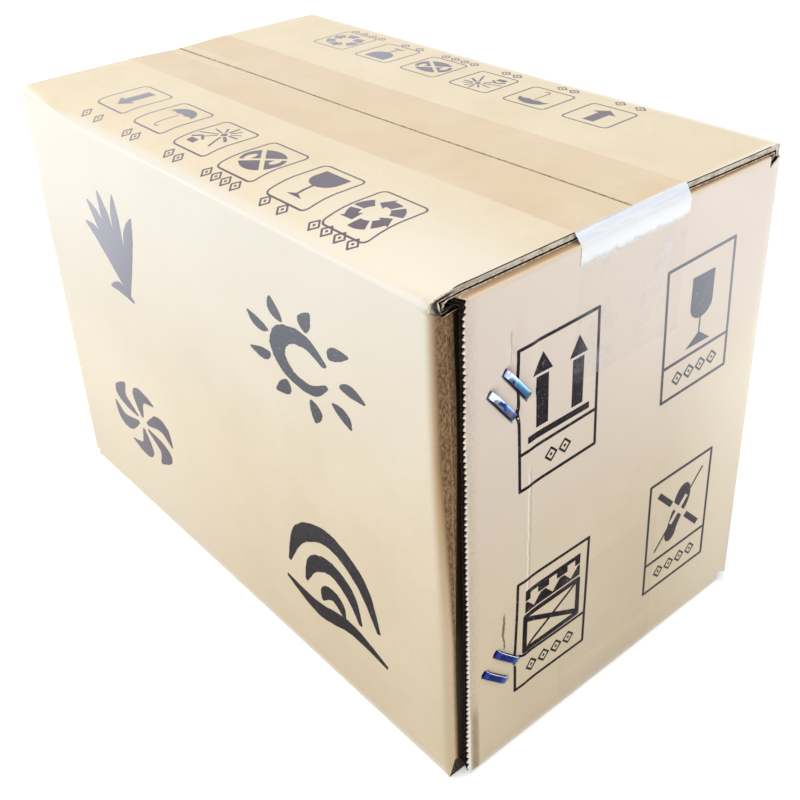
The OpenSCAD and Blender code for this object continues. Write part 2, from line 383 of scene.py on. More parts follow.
def settle(point):
    """Where a point of the folded sheet lies once the carton is stitched, taped and handled."""
    x, y, z = point
    along, across = x / half_l, y / half_w

    # The top sinks a little, most along its seam, and rolls over towards the near long crease.
    drop = far_sag * smooth(0.95, 0.1, along) * (0.5 + 0.5 * across) + top_ripple * cloud(x, y, 0, 34 * MM, 2.0)
    drop += seam_dip * math.exp(-(y / (14 * MM)) ** 2) * smooth(-0.3, -1.0, along)
    begun = smooth(-1.0, -0.6, along)
    roll = near_roll * (0.12 + 0.88 * begun) * (1 - 0.23 * smooth(0.6, 1.0, along))
    width = roll_width * (0.3 + 0.7 * begun) + (roll_width_at_end - roll_width) * smooth(0.75, 0.97, along)
    roll *= (1 - min(1.0, (half_w + y) / width)) ** 2
    high_fold = math.exp(-((half_w - abs(y)) ** 2 + (top_z - z) ** 2) / (5 * MM) ** 2)
    drop += fold_crush * high_fold * cloud(x, y, z, 9 * MM, 5.0)
    z -= (drop + 0.55 * roll) * z / top_z + 0.45 * roll * smooth(top_z - 6 * MM, top_z - 0.5 * MM, z)
    y += seam_skew * smooth(-0.3, 1.0, along) * smooth(mid_z, top_z - 4 * MM, z) * (1 - across ** 2)

    # At the foot the end panels stand down to the floor and the outer flaps end short of them.
    if z < mid_z:
        lip = foot_lip * smooth(half_l - 4 * MM, half_l - 0.7 * MM, abs(x)) * (1 - smooth(4 * MM, 16 * MM, z))
        z -= max(0.0, min(lip, 0.8 * z))
        if z < board_t + 0.1 * MM:
            x -= math.copysign(foot_pull * smooth(110 * MM, outer_flap_end, abs(x)), x) * (abs(x) < half_l - 2 * MM)

    # The panels lie slightly hollow, and the stitched one steps over the tab, which the wires pull in.
    middle = (1 - abs((z - mid_z) / half_h) ** 3)
    hollow = skin_room + wall_hollow * cloud(x, 0, z, 70 * MM, 3.0) * middle * (1 - along ** 4)
    hollow += 0.6 * fold_crush * high_fold * cloud(x, y, z, 7 * MM, 8.0)
    y -= math.copysign(hollow * abs(across) ** 6, y)
    bow = skin_room + 0.5 * wall_hollow * cloud(0, y, z, 50 * MM, 4.0) * middle
    if x > 0.9 * half_l:
        past_tab = smooth(tab_end - 2.5 * MM, tab_end + 1.5 * MM, y)
        lap_zone = 1 - smooth(end_top - 6 * MM, end_top + 2 * MM, abs(z - mid_z))
        bow += tab_step * past_tab * lap_zone * (1 - smooth(10 * MM, half_w, y))
        bow -= tab_ridge * crease_mark(point, tab_end - 2 * MM, 66 * MM, 118 * MM)
        bow += stitch_dent(point)
        for crack_y, low, high in liner_cracks:
            bow += crack_depth * crease_mark(point, crack_y, low, high)
        if x < tab_x + 0.1 * MM and y < tab_end:
            bow += corner_tuck * smooth(130 * MM, 178 * MM, z) * smooth(tab_end, -half_w + 8 * MM, y)
        if x > tab_x + 0.1 * MM:
            edge = math.exp(-((y - lap_edge) / (5 * MM)) ** 2)
            flare = (1 - smooth(0, 45 * MM, z)) * smooth(-half_w + 3 * MM, lap_edge - 1 * MM, y)
            y += (lap_wander * (cloud(0, 0, z, 22 * MM, 6.0) - 0.5) * 2 - foot_flare * flare) * edge
            bow += lap_curl * edge * cloud(0, 0, z, 15 * MM, 9.0)
            bow += lap_furrow * math.exp(-((y + half_w - 9.5 * MM) / (2 * MM)) ** 2) * cloud(0, 0, z, 40 * MM, 31.0)
    x -= math.copysign(bow * abs(along) ** 12, x)

    # The top's outer flaps reach unevenly far, and the near corner is crumpled.
    on_outer_flap = point.z > top_z - board_t - nearly or abs(point.y) > inner_flap_side
    if point.x < outer_flap_end + nearly and on_outer_flap and point.z > mid_z + end_top + notch_fill + nearly:
        at_end = smooth(100 * MM, outer_flap_end, point.x)
        x += far_stretch * at_end * smooth(-10 * MM, half_w, point.y)
        x -= end_pull * at_end * (1 - min(1.0, (half_w + point.y) / (9 * MM))) ** 2
    nearness = math.exp(-((point - near_corner).length / (5 * MM)) ** 2)
    crumple = Vector((cloud(x, y, z, 1.7 * MM, seed) - 0.5 for seed in (11.0, 12.0, 13.0)))
    return Vector((x, y, z)) + crumple * nearness * corner_crumple * MM + corner_push * nearness * MM


for v in sheet.verts:
    if on_lap_edge(v.co):
        phase = (v.co.z - mid_z - wall_rows[0]) / tooth_pitch % 1.0
        deep = 0.0 if v.co.x > half_l - liner_t - nearly else undercut
        torn = 0.55 + 0.9 * cloud(0, 0, v.co.z, 1.9 * MM, 17.0)
        v.co.y += tooth_depth * torn * (abs(2 * phase - 1) - 0.35) * (0.3 if deep else 1.0) + deep
for v in sheet.verts:
    v.co = settle(v.co)
bmesh.ops.triangulate(sheet, faces=[f for f in sheet.faces if len(f.verts) > 4])
sharp_angle = math.radians(42)
for f in sheet.faces:
    f.smooth = True
for e in sheet.edges:
    e.smooth = len(e.link_faces) == 2 and e.calc_face_angle(0.0) < sharp_angle
surface = BVHTree.FromBMesh(sheet)


# The board's finishes are worked out in small steps: coordinates, sums, masks, grains and blends of colours.
def add(neighbour, kind, inputs=None, **settings):
    """A shader node beside this one, with its inputs set to values or joined to other nodes."""
    node = neighbour.id_data.nodes.new(kind)
    for name, value in settings.items():
        setattr(node, name, value)
    for socket, value in (inputs or {}).items():
        if isinstance(value, bpy.types.NodeSocket):
            join(value, node.inputs[socket])
        else:
            node.inputs[socket].default_value = value
    return node


def join(value, socket):
    socket.id_data.links.new(value, socket)


def maths(operation, *values, clamp=False):
    neighbour = next(value for value in values if isinstance(value, bpy.types.NodeSocket))
    return add(neighbour, "ShaderNodeMath", dict(enumerate(values)), operation=operation, use_clamp=clamp).outputs[0]


def product(first, *others):
    for other in others:
        first = maths("MULTIPLY", first, other)
    return first


def total(first, second):
    return maths("ADD", first, second)


def less(first, second):
    return maths("SUBTRACT", first, second)


def apart(first, second):
    """How far apart two values are."""
    return maths("ABSOLUTE", less(first, second))


def larger(first, second):
    return maths("MAXIMUM", first, second)


def above(value, limit):
    return maths("GREATER_THAN", value, limit)


def below(value, limit):
    return maths("LESS_THAN", value, limit)


def axes(vector):
    """The three coordinates of a vector."""
    return add(vector, "ShaderNodeSeparateXYZ", {"Vector": vector}).outputs


def stretch(vector, scale):
    return add(vector, "ShaderNodeMapping", {"Vector": vector, "Scale": scale}).outputs["Vector"]


def fade(value, low, high):
    """0 below low and 1 above high, or the other way round if low is the larger."""
    return add(value, "ShaderNodeMapRange", {"Value": value, "From Min": low, "From Max": high},
               interpolation_type="SMOOTHSTEP").outputs["Result"]


def ramp(value, start, stop, low=0.0, high=1.0):
    """A straight run of values, from start where the given one is low to stop where it is high."""
    return add(value, "ShaderNodeMapRange", {"Value": value, "From Min": low, "From Max": high,
                                             "To Min": start, "To Max": stop}).outputs["Result"]


def blend(amount, first, second):
    return add(amount, "ShaderNodeMix", {0: amount, 6: first, 7: second}, data_type="RGBA").outputs[2]


def grain(vector, scale, detail=2.0, rough=0.5):
    return add(vector, "ShaderNodeTexNoise", {"Vector": vector, "Scale": scale, "Detail": detail,
                                              "Roughness": rough}).outputs["Fac"]


def emboss(skin, height, strength, depth):
    """Gives a material bumps of this height."""
    bumps = add(skin, "ShaderNodeBump", {"Height": height, "Strength": strength, "Distance": depth})
    join(bumps.outputs["Normal"], skin.inputs["Normal"])


def new_group(name, ins, outs):
    """An empty shader node group with a vector and these numbers as inputs, and these numbers as outputs."""
    group = bpy.data.node_groups.new(name, "ShaderNodeTree")
    group.interface.new_socket("Vector", in_out="INPUT", socket_type="NodeSocketVector")
    for title in ins:
        group.interface.new_socket(title, in_out="INPUT", socket_type="NodeSocketFloat")
    for title in outs:
        group.interface.new_socket(title, in_out="OUTPUT", socket_type="NodeSocketFloat")
    return group, group.nodes.new("NodeGroupInput").outputs, group.nodes.new("NodeGroupOutput").inputs


def grouped(group, vector, **inputs):
    """The outputs of a node group used in a material."""
    return add(vector, "ShaderNodeGroup", {"Vector": vector, **inputs}, node_tree=group).outputs


def new_material(name):
    """A material, its shader, and the place on the object that its colours are worked out for."""
    material = bpy.data.materials.new(name)
    material.use_nodes = True
    skin = material.node_tree.nodes["Principled BSDF"]
    return material, skin, add(skin, "ShaderNodeTexCoord").outputs["Object"]


# Pulped paper: cloudy patches, fibres that lie along the web, and dark specks of bark.
paper, paper_in, paper_out = new_group("Pulp", [], ["Clouds", "Fibres", "Specks", "Relief"])
fibre_grain = grain(stretch(paper_in["Vector"], (0.35, 0.35, 1.0)), 1500, 2.0, 0.6)
fine_grain = grain(paper_in["Vector"], 2600, 2.0, 0.7)
join(grain(paper_in["Vector"], 38, 4.0, 0.55), paper_out["Clouds"])
join(fade(fibre_grain, 0.38, 0.66), paper_out["Fibres"])
join(fade(grain(paper_in["Vector"], 900, 1.0), 0.70, 0.78), paper_out["Specks"])
join(total(fibre_grain, fine_grain), paper_out["Relief"])

# Rubbing and a painted highlight along the box's folds: a mask that is 1 where two faces of the box meet.
fold_rub_and_highlight, mark_in, mark_out = new_group("FoldRubAndHighlight", ["Width"], ["Mask"])
mark_axes = axes(mark_in["Vector"])
nearness = []
for axis, middle, half in (("X", 0.0, half_l), ("Y", 0.0, half_w), ("Z", mid_z, half_h)):
    gap = maths("DIVIDE", less(half, apart(mark_axes[axis], middle)), mark_in["Width"])
    nearness.append(maths("SUBTRACT", 1.0, gap, clamp=True))
pairs = [product(nearness[a], nearness[b]) for a, b in ((0, 1), (1, 2), (0, 2))]
join(larger(larger(pairs[0], pairs[1]), pairs[2]), mark_out["Mask"])

# A painted shadow: the dark line that a wire stitch casts on the liner along its lower side. The mask runs through the
# whole box, so that the line shows on the far end panel too.
wire_painted_shadow, mark_in, mark_out = new_group("WirePaintedShadow", ["Y", "Z", "Slope", "Half"], ["Mask"])
mark_axes = axes(mark_in["Vector"])
shadow_y, shadow_z = (less(mark_axes[axis], mark_in[axis]) for axis in "YZ")
shadow_cos, shadow_sin = maths("COSINE", mark_in["Slope"]), maths("SINE", mark_in["Slope"])
shadow_along = apart(product(shadow_y, shadow_cos), product(shadow_z, shadow_sin))
shadow_across = total(product(shadow_y, shadow_sin), product(shadow_z, shadow_cos))
join(product(fade(shadow_across, -2.0 * MM, -1.5 * MM), fade(shadow_across, 1.3 * MM, 1.1 * MM),
             fade(less(shadow_along, mark_in["Half"]), 1.1 * MM, 0.6 * MM)), mark_out["Mask"])

# A fine upright line on the end panel, which wanders a little: a mask for the painted highlight and painted shade
# along its ridge and cracks.
crease_paint, crease_in, crease_out = new_group("CreasePaint", ["Y", "Z", "Half"], ["Mask"])
crease_axes = axes(crease_in["Vector"])
sway = product(less(grain(stretch(crease_in["Vector"], (0.0, 0.0, 1.0)), 160, 2.0), 0.5), 2.4 * MM)
beside = apart(total(crease_axes["Y"], sway), crease_in["Y"])
off_middle = maths("DIVIDE", apart(crease_axes["Z"], crease_in["Z"]), crease_in["Half"])
join(product(fade(beside, 0.55 * MM, 0.15 * MM), fade(off_middle, 1.0, 0.7),
             above(crease_axes["X"], half_l - 2.2 * MM)), crease_out["Mask"])

# The liner outside: mottled kraft with fibres and specks of bark, rubbed pale and painted with a highlight along
# its folds.
paper_white = (0.93, 0.92, 0.89, 1)
kraft_pale = (0.75, 0.63, 0.445, 1)
kraft_deep = (0.69, 0.565, 0.38, 1)
kraft_painted_light = (0.73, 0.665, 0.56, 1)
kraft_painted_bright = (0.86, 0.75, 0.575, 1)
kraft_painted_sheen = (0.77, 0.69, 0.545, 1)
kraft_rosy_painted_light = (0.76, 0.64, 0.545, 1)
kraft_tan = (0.66, 0.51, 0.33, 1)
kraft_gold = (0.50, 0.33, 0.17, 1)
kraft_worn_and_highlight = (0.92, 0.89, 0.82, 1)
kraft_specks_soil_and_shade = (0.13, 0.075, 0.036, 1)
kraft_scuff_and_shade = (0.35, 0.22, 0.115, 1)
kraft_orange_shadow = (0.55, 0.30, 0.14, 1)
kraft_black = (0.018, 0.012, 0.008, 1)
kraft, skin, spot = new_material("kraft_liner")
pulp = grouped(paper, spot)
fold_wear_and_highlight = grouped(fold_rub_and_highlight, spot, Width=5 * MM)["Mask"]
colour = blend(fade(pulp["Clouds"], 0.2, 0.9), kraft_pale, kraft_deep)
colour = blend(product(pulp["Fibres"], 0.38), colour, kraft_deep)
colour = blend(product(pulp["Specks"], 0.12), colour, kraft_specks_soil_and_shade)
colour = blend(product(fade(fold_wear_and_highlight, 0.25, 0.9), 0.6), colour, kraft_worn_and_highlight)

# The panels are painted paler as painted light, most of all high up, towards the long panels' far end and at the foot
# of the stitched panel's far side. The near flap is painted paler towards the stitched end, as a painted sheen.
at_x, at_y, at_z = axes(spot)
inset = total(at_y, half_w)
on_end = above(at_x, half_l - 2.5 * MM)
wall = fade(at_z, top_z - 3.2 * MM, top_z - 5.6 * MM)
leaning = less(at_z, product(at_x, 0.25))
painted_light_high_far = larger(fade(leaning, 48 * MM, 180 * MM), product(fade(at_x, 10 * MM, -120 * MM), 0.75))
long_tone = blend(product(painted_light_high_far, wall), colour, kraft_painted_light)
painted_light_low_far = product(fade(at_x, 70 * MM, -110 * MM), fade(at_z, 110 * MM, 50 * MM), 0.9)
long_tone = blend(painted_light_low_far, long_tone, kraft_painted_bright)
end_tone = blend(product(fade(at_z, 35 * MM, 165 * MM), wall), colour, kraft_rosy_painted_light)
painted_light_far_foot = product(fade(at_y, 20 * MM, 72 * MM), wall, fade(at_z, 150 * MM, 90 * MM))
end_tone = blend(painted_light_far_foot, end_tone, kraft_painted_bright)
colour = blend(on_end, long_tone, end_tone)
# Painted sheen: the near flap is painted paler towards the stitched end.
near_flap_painted_sheen = product(fade(at_x, 10 * MM, 115 * MM), fade(at_y, -28 * MM, -60 * MM), fade(inset, 0.0, 2.5 * MM),
                 fade(at_z, top_z - 16 * MM, top_z - 12 * MM), below(at_x, outer_flap_end + 1 * MM))
colour = blend(near_flap_painted_sheen, colour, kraft_painted_sheen)

# The near long crease is rubbed pale and painted with a highlight along its crest.
crease_z = ramp(at_x, top_z - 2.0 * MM, top_z - 6.4 * MM, -half_l, -0.6 * half_l)
crest_wear_and_highlight = product(fade(inset, 1.0 * MM, 0.3 * MM), fade(less(at_z, crease_z), -0.8 * MM, -0.1 * MM), 0.3)
colour = blend(crest_wear_and_highlight, colour, paper_white)

# The strip of tab that shows beside the lapped edge, painted with the shade of its recess: golden as painted shade
# where it turns the corner, then dark brown with scuffs and painted shade, scored, and black in the shadow of the edge.
mottle = grain(stretch(spot, (1.0, 1.0, 0.5)), 1500, 3.0, 0.7)
turn_late = ramp(at_z, 2.1 * MM, 0.0, 60 * MM, 130 * MM)
shade_start = ramp(at_z, 4.1 * MM, 6.9 * MM, 60 * MM, 150 * MM)
lap_strip = product(fade(less(at_x, turn_late), half_l - 10 * MM, half_l - 5 * MM), below(at_x, tab_x + 1.2 * MM),
                    fade(at_z, mid_z + end_top + 2 * MM, mid_z + end_top), below(at_y, lap_edge + 5 * MM))
tab_scuff_and_painted_shade = blend(fade(mottle, 0.36, 0.66), kraft_specks_soil_and_shade, kraft_scuff_and_shade)
scored = maths("COMPARE", inset, 3.9 * MM, 0.2 * MM)
tab_scuff_and_painted_shade = blend(product(scored, 0.35), tab_scuff_and_painted_shade, kraft_gold)
ragged_inset = total(inset, product(mottle, 1.2 * MM))
corner_turn_painted_shade = blend(fade(at_z, 50 * MM, 130 * MM), kraft_tan, kraft_gold)
tab_scuff_and_painted_shade = blend(fade(less(ragged_inset, turn_late), 0.6 * MM, 2.0 * MM), corner_turn_painted_shade, tab_scuff_and_painted_shade)
tab_scuff_and_painted_shade = blend(fade(less(ragged_inset, shade_start), 0.0, 0.4 * MM), tab_scuff_and_painted_shade, kraft_black)
colour = blend(lap_strip, colour, tab_scuff_and_painted_shade)

# The end panel is stained along that edge, scuffed at its foot and frayed white at the saw teeth.
halo = product(fade(inset, 12.5 * MM, 7 * MM), fade(mottle, 0.25, 0.75), 0.45)
scuff = product(fade(apart(inset, 9 * MM), 2.2 * MM, 0.6 * MM), fade(at_z, 34 * MM, 22 * MM), 0.62)
colour = blend(product(on_end, total(halo, scuff)), colour, kraft_scuff_and_shade)
frayed = product(above(at_x, tab_x + 1.5 * MM), fade(at_y, lap_edge + 1.1 * MM, lap_edge + 0.3 * MM))
colour = blend(frayed, colour, paper_white)

# Painted shadows beside the wires and under the flaps' ends, a painted highlight and painted shade along the ridge over
# the tab's free edge, and painted shade in the cracks by the wires.
for name, centre in stitch_spots.items():
    crown_half, aside = stitch_crowns[name]
    wire_shadow = grouped(wire_painted_shadow, spot, Y=centre.y + aside, Z=centre.z - aside,
                  Slope=math.radians(stitch_slopes[name]), Half=crown_half)["Mask"]
    colour = blend(wire_shadow, colour, kraft_black)
# An orange-brown painted shadow on the end panel's top crease, under the outer flaps' cut ends.
under_flap_painted_shadow = product(fade(at_z, top_z - 4.8 * MM, top_z - 4.0 * MM), fade(at_z, top_z - 2.2 * MM, top_z - 2.8 * MM),
                     above(at_x, outer_flap_end), fade(at_x, half_l - 0.3 * MM, half_l - 1.6 * MM), 0.85)
colour = blend(under_flap_painted_shadow, colour, kraft_orange_shadow)
# A painted highlight and painted shade along the ridge over the tab's free edge, then painted shade in two cracks.
for y, z, half, strength, tone in ((-42.6, 90, 29, 0.7, kraft_worn_and_highlight), (-41.5, 90, 29, 0.35, kraft_scuff_and_shade),
                                   (-50.3, 162, 6, 0.4, kraft_specks_soil_and_shade), (-52.6, 54.5, 9, 0.9, kraft_specks_soil_and_shade)):
    creased = grouped(crease_paint, spot, Y=y * MM, Z=z * MM, Half=half * MM)["Mask"]
    colour = blend(product(creased, strength), colour, tone)
join(colour, skin.inputs["Base Color"])
join(ramp(lap_strip, 0.8, 0.05), skin.inputs["Specular IOR Level"])

# The flutes show faintly through the liner.
end_face = fade(maths("ABSOLUTE", at_x), half_l - 6 * MM, half_l - 4 * MM)
web_way = add(skin, "ShaderNodeCombineXYZ", {"X": total(at_x, product(at_y, end_face))}).outputs["Vector"]
ribs = add(skin, "ShaderNodeTexWave", {"Vector": web_way, "Scale": math.pi / 10 / flute_pitch},
           bands_direction="X").outputs["Fac"]
relief = total(product(pulp["Relief"], 0.5), product(ribs, 0.4))
emboss(skin, relief, 0.25, 0.06 * MM)
join(ramp(pulp["Clouds"], 0.5, 0.62), skin.inputs["Roughness"])

# Raw cut edges of the liners and the waved paper, dark in the shade of the near bottom corner.
cut_pale = (0.88, 0.80, 0.66, 1)
cut_brown = (0.44, 0.31, 0.19, 1)
cut_shaded = (0.05, 0.035, 0.02, 1)
cut_edge, skin, spot = new_material("cut_liner_edge")
ragged = fade(grain(spot, 700, 3.0, 0.7), 0.42, 0.6)
_, at_y, at_z = axes(spot)
low_corner = product(fade(at_z, 14 * MM, 8 * MM), below(at_y, -half_w + 8 * MM), 0.8)
join(blend(low_corner, blend(ragged, cut_pale, cut_brown), cut_shaded), skin.inputs["Base Color"])
emboss(skin, ragged, 0.5, 0.1 * MM)
skin.inputs["Roughness"].default_value = 0.85

# The waved paper inside, painted nearly black as the shade in its open flutes, with the fibres of its recycled pulp.
flute_light = (0.06, 0.042, 0.028, 1)
flute_dark = (0.022, 0.015, 0.01, 1)
fluting_shade, skin, spot = new_material("fluting_paper_painted_shade")
pulp = grouped(paper, spot)
join(blend(pulp["Fibres"], flute_light, flute_dark), skin.inputs["Base Color"])
emboss(skin, pulp["Relief"], 0.3, 0.05 * MM)
skin.inputs["Roughness"].default_value = 0.9
skin.inputs["Specular IOR Level"].default_value = 0.1

# The side of one wave of that paper, laid bare and rubbed pale along the ends of the flaps, but painted nearly black as
# shade at the bottom and just inside the near corner.
web_pale = (0.74, 0.70, 0.63, 1)
web_brown = (0.40, 0.32, 0.23, 1)
bared_wave, skin, spot = new_material("bared_wave")
torn = fade(grain(stretch(spot, (1.0, 0.3, 1.0)), 600, 3.0, 0.65), 0.5, 0.7)
_, at_y, at_z = axes(spot)
in_corner = product(fade(at_y, -half_w + 8 * MM, -half_w + 4 * MM), fade(at_y, -half_w + 1.4 * MM, -half_w + 2.2 * MM))
deep = larger(below(at_z, mid_z), in_corner)
join(blend(deep, blend(torn, web_pale, web_brown), flute_light), skin.inputs["Base Color"])
skin.inputs["Roughness"].default_value = 0.85


def new_piece(name, mesh, *finishes):
    """An object from a bmesh, riding on the one body."""
    data = bpy.data.meshes.new(name)
    mesh.to_mesh(data)
    for finish in finishes:
        data.materials.append(finish)
    piece = bpy.data.objects.new(name, data)
    bpy.context.scene.collection.objects.link(piece)
    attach(piece, "root")
    return piece


folded_board = new_piece("folded_board", sheet, kraft, cut_edge, fluting_shade, bared_wave)
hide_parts("carton")


# Ink printed on the board in one dark colour: handling pictograms in frames and bold brushed marks. Each print is a
# thin skin that lies on the liner, cut to its shapes and pressed to the board's own bumps.
ink_rise = 0.05 * MM
ink_sink = 0.03 * MM
print_start = 20 * MM
joint_sides = 10
ink_dark = (0.012, 0.009, 0.013, 1)
ink_thin = (0.040, 0.030, 0.038, 1)
ink_bare = (0.34, 0.27, 0.21, 1)
ink_faint = (0.17, 0.125, 0.15, 1)
ink_painted_sheen = (0.27, 0.245, 0.285, 1)
ink, skin, spot = new_material("printing_ink")
pulp = grouped(paper, spot)
colour = blend(fade(grain(spot, 1300, 2.0, 0.7), 0.4, 0.7), ink_dark, ink_thin)
colour = blend(product(fade(grain(spot, 800, 2.0, 0.8), 0.60, 0.72), 0.5), colour, ink_bare)
at_x, at_y, at_z = axes(spot)
colour = blend(product(fade(at_z, top_z - 8 * MM, top_z - 7 * MM), 0.72), colour, ink_faint)
on_end = above(at_x, half_l - 4 * MM)
# Painted sheen: the ink is painted a paler bluish grey towards the long panel's far end and the end panel's far side.
far_painted_sheen = larger(product(fade(at_x, 20 * MM, -90 * MM), 0.95), product(fade(at_y, -20 * MM, 70 * MM), on_end, 0.3))
join(blend(far_painted_sheen, colour, ink_painted_sheen), skin.inputs["Base Color"])
near_lap = product(on_end, fade(at_y, 45 * MM, -45 * MM))
join(ramp(near_lap, 0.34, 0.07), skin.inputs["Specular IOR Level"])
emboss(skin, pulp["Relief"], 0.2, 0.05 * MM)
skin.inputs["Roughness"].default_value = 0.32


def turned(points, degrees=0.0, scale=1.0, shift=(0.0, 0.0)):
    """One shape turned about the origin, scaled and then shifted."""
    c, s = math.cos(math.radians(degrees)) * scale, math.sin(math.radians(degrees)) * scale
    return [(c * u - s * v + shift[0], s * u + c * v + shift[1]) for u, v in points]


def disc(centre, radius, sides=32, squash=1.0):
    angles = [2 * math.pi * k / sides for k in range(sides)]
    return [(centre[0] + radius * math.cos(a), centre[1] + radius * squash * math.sin(a)) for a in angles]


def line(points, width, closed=False):
    """A line of even or changing width, as one shape for each stretch and each joint."""
    ring = list(points) + ([points[0]] if closed else [])
    widths = width if isinstance(width, list) else [width] * len(ring)
    shapes = []
    for (a, wa), (b, wb) in zip(zip(ring, widths), zip(ring[1:], widths[1:])):
        du, dv = b[0] - a[0], b[1] - a[1]
        length = math.hypot(du, dv)
        if length < 1e-4:
            continue
        nu, nv = -dv / length / 2, du / length / 2
        shapes.append([(a[0] + nu * wa, a[1] + nv * wa), (a[0] - nu * wa, a[1] - nv * wa),
                       (b[0] - nu * wb, b[1] - nv * wb), (b[0] + nu * wb, b[1] + nv * wb)])
    joints = range(len(ring) - 1) if closed else range(1, len(ring) - 1)
    return shapes + [disc(ring[k], widths[k] / 2, joint_sides) for k in joints]


def arc(centre, radius, start, stop, steps=16, squash=1.0):
    angles = [math.radians(start + (stop - start) * k / steps) for k in range(steps + 1)]
    return [(centre[0] + radius * math.cos(a), centre[1] + radius * squash * math.sin(a)) for a in angles]


def box_ring(width, height, corner=0.0):
    """Outline of a rectangle about the origin, with rounded corners if a radius is given."""
    if not corner:
        return [(-width / 2, -height / 2), (width / 2, -height / 2), (width / 2, height / 2), (-width / 2, height / 2)]
    outline = []
    for k, (su, sv) in enumerate(((1, 1), (-1, 1), (-1, -1), (1, -1))):
        centre = (su * (width / 2 - corner), sv * (height / 2 - corner))
        outline += arc(centre, corner, 90 * k, 90 * k + 90, 6)
    return outline


def placed_at(shapes, shift, degrees=0.0):
    """All of these shapes turned and shifted."""
    return [turned(shape, degrees, 1.0, shift) for shape in shapes]


def print_on(name, inked, bare, place, inward, press_step=2.0):
    """Cuts a print from its inked shapes less its bare ones, and presses it to the board at points this far apart."""
    shapes = inked + bare
    points, rings = [], []
    for shape in shapes:
        area = sum(a[0] * b[1] - b[0] * a[1] for a, b in zip(shape, shape[1:] + shape[:1]))
        ordered = []
        for a, b in zip(shape, shape[1:] + shape[:1]):
            count = max(1, math.ceil(math.dist(a, b) / press_step))
            ordered += [(a[0] + (b[0] - a[0]) * k / count, a[1] + (b[1] - a[1]) * k / count) for k in range(count)]
        ordered = ordered if area > 0 else ordered[::-1]
        rings.append(list(range(len(points), len(points) + len(ordered))))
        points += ordered
    us, vs = [p[0] for p in points], [p[1] for p in points]
    for column in range(int(min(us) / press_step), int(max(us) / press_step) + 1):
        for row in range(int(min(vs) / press_step), int(max(vs) / press_step) + 1):
            points.append(((column + 0.37) * press_step, (row + 0.41) * press_step))
    flat, _, triangles, _, _, sources = geometry.delaunay_2d_cdt(
        [Vector(p) for p in points], [], rings, 1, 1e-4, True)
    kept = [t for t, own in zip(triangles, sources) if own and max(own) < len(inked)]
    skin_mesh = bmesh.new()
    upper, lower, counts = {}, {}, {}
    for triangle in kept:
        for k in triangle:
            if k not in upper:
                start = place(flat[k].x * MM, flat[k].y * MM)
                hit = surface.ray_cast(start, inward)[0]
                upper[k] = skin_mesh.verts.new(hit - inward * ink_rise)
                lower[k] = skin_mesh.verts.new(hit + inward * ink_sink)
        for a, b in zip(triangle, triangle[1:] + triangle[:1]):
            counts[(a, b)] = True
    for triangle in kept:
        skin_mesh.faces.new([upper[k] for k in triangle])
        skin_mesh.faces.new([lower[k] for k in reversed(triangle)])
    for a, b in counts:
        if (b, a) not in counts:
            skin_mesh.faces.new([upper[a], lower[a], lower[b], upper[b]])
    bmesh.ops.recalc_face_normals(skin_mesh, faces=skin_mesh.faces)
    return new_piece(name, skin_mesh, ink)


def end_place(u, v):
    """A start in front of the end panel from which a point of its print is pressed on."""
    return Vector((half_l + print_start, u, v))


def long_place(u, v):
    return Vector((u, -half_w - print_start, v))


def top_place(u, v):
    return Vector((u, v, top_z + print_start))


def goblet(width, bowl, stem, foot, foot_w, stem_w=0.7):
    """A drinking glass: straight lip, rounded bowl, thin stem and a spreading foot, standing on the origin."""
    lip = stem + bowl
    cup = [(-width / 2, lip)] + turned(arc((0, 0), width / 2, 180, 360, 14, 0.9), shift=(0, stem + width * 0.45))
    return [cup + [(width / 2, lip)], *line([(0, 0.5), (0, stem + 1)], stem_w),
            [(-foot_w / 2, 0), (foot_w / 2, 0), (0.4, foot), (-0.4, foot)]]


def up_arrow(width, head, shaft_w, length, gap=1.0):
    """An arrow that points up from the origin, with a gap between its shaft and its head."""
    neck = length - head - gap
    return [[(-shaft_w / 2, 0), (shaft_w / 2, 0), (shaft_w / 2, neck), (-shaft_w / 2, neck)],
            [(-width / 2, length - head), (width / 2, length - head), (0, length)]]


def caption(width, count, size):
    """A short row of hollow diamonds, where such a frame has its line of small print."""
    spots = [((k - (count - 1) / 2) * width / count, 0) for k in range(count)]
    return [shape for spot in spots
            for shape in line(disc(spot, size / 2, 4), size / 6.5, closed=True) + [disc(spot, size / 7, 4)]]


# On the stitched end panel: four tall frames, each with a band along its foot.
end_frame_w, end_frame_h = 34.5, 50.3
end_band_h = 13.5
end_line = 1.2
end_columns = (-30.0, 37.7)
end_row_heights = (134.6, 48.9)
end_ink, end_bare = [], []
# For each frame: where its middle is, its height, how many degrees it leans, and how many diamonds it has.
end_frames = ((end_columns[0], end_row_heights[0], end_frame_h, 1.2, 2), (end_columns[0], 47.7, 47.0, -0.9, 4),
              (end_columns[1], end_row_heights[0], end_frame_h, 2.0, 4),
              (end_columns[1], end_row_heights[1], end_frame_h, 0.6, 4))
for column, height, tall, turn, count in end_frames:
    base = -tall / 2
    shapes = line(box_ring(end_frame_w, tall), end_line, closed=True)
    band_v = base + end_band_h
    shapes += line([(-end_frame_w / 2, band_v), (end_frame_w / 2, band_v)], end_line)
    shapes += placed_at(caption(6.2 * count, count, 4.9), (0, base + end_band_h / 2))
    end_ink += placed_at(shapes, (column, height), turn)
arrows_at = (end_columns[0], end_row_heights[0] - end_frame_h / 2 + end_band_h)
end_ink += placed_at(up_arrow(8.5, 7, 5.2, 25.5), (arrows_at[0] - 7.2, arrows_at[1] + 6.4))
end_ink += placed_at(up_arrow(8.0, 7, 5.0, 25.0), (arrows_at[0] + 8.3, arrows_at[1] + 6.1))
